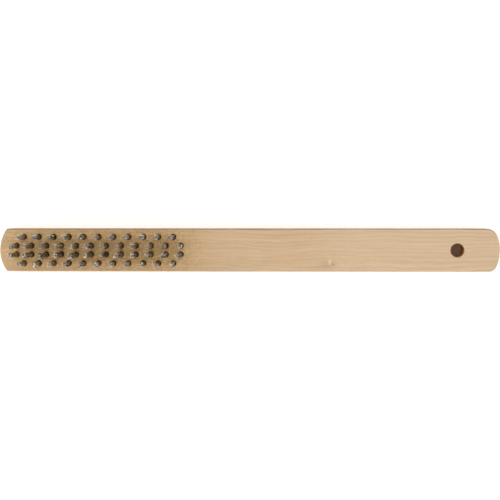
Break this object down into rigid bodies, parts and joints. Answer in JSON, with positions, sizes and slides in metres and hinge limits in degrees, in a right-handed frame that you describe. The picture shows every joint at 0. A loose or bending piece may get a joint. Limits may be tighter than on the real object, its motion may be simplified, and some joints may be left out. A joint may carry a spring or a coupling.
{
  "type": "wire brush",
  "caption": "Straight hardwood wire brush with staggered rows of steel wire tufts at one end and a hanging hole at the other.",
  "frame": {"origin": "centre of the stick's back, the flat face opposite the bristles", "axes": "+X along the stick towards the hanging hole, +Z the way the bristles point, +Y completes the right-handed frame"},
  "size_m": [0.29, 0.025, 0.032],
  "materials": {
    "beech_wood": "sanded, uncoated",
    "steel_wire": "crimped round wire, as drawn",
    "anchor_steel": "flat wire, as rolled"
  },
  "bodies": {
    "root": {"handle_block": "beech_wood", "tuft_row1_01": "steel_wire", "tuft_row1_02": "steel_wire", "tuft_row1_03": "steel_wire", "tuft_row1_04": "steel_wire", "tuft_row1_05": "steel_wire", "tuft_row1_06": "steel_wire", "tuft_row1_07": "steel_wire", "tuft_row1_08": "steel_wire", "tuft_row1_09": "steel_wire", "tuft_row1_10": "steel_wire", "tuft_row1_11": "steel_wire", "tuft_row2_01": "steel_wire", "tuft_row2_02": "steel_wire", "tuft_row2_03": "steel_wire", "tuft_row2_04": "steel_wire", "tuft_row2_05": "steel_wire", "tuft_row2_06": "steel_wire", "tuft_row2_07": "steel_wire", "tuft_row2_08": "steel_wire", "tuft_row2_09": "steel_wire", "tuft_row2_10": "steel_wire", "tuft_row2_11": "steel_wire", "tuft_row2_12": "steel_wire", "tuft_row3_01": "steel_wire", "tuft_row3_02": "steel_wire", "tuft_row3_03": "steel_wire", "tuft_row3_04": "steel_wire", "tuft_row3_05": "steel_wire", "tuft_row3_06": "steel_wire", "tuft_row3_07": "steel_wire", "tuft_row3_08": "steel_wire", "tuft_row3_09": "steel_wire", "tuft_row3_10": "steel_wire", "tuft_row3_11": "steel_wire", "tuft_row3_12": "steel_wire", "tuft_row4_01": "steel_wire", "tuft_row4_02": "steel_wire", "tuft_row4_03": "steel_wire", "tuft_row4_04": "steel_wire", "tuft_row4_05": "steel_wire", "tuft_row4_06": "steel_wire", "tuft_row4_07": "steel_wire", "tuft_row4_08": "steel_wire", "tuft_row4_09": "steel_wire", "tuft_row4_10": "steel_wire", "tuft_row4_11": "steel_wire", "anchors_row1": "anchor_steel", "anchors_row2": "anchor_steel", "anchors_row3": "anchor_steel", "anchors_row4": "anchor_steel"}
  },
  "joints": []
}
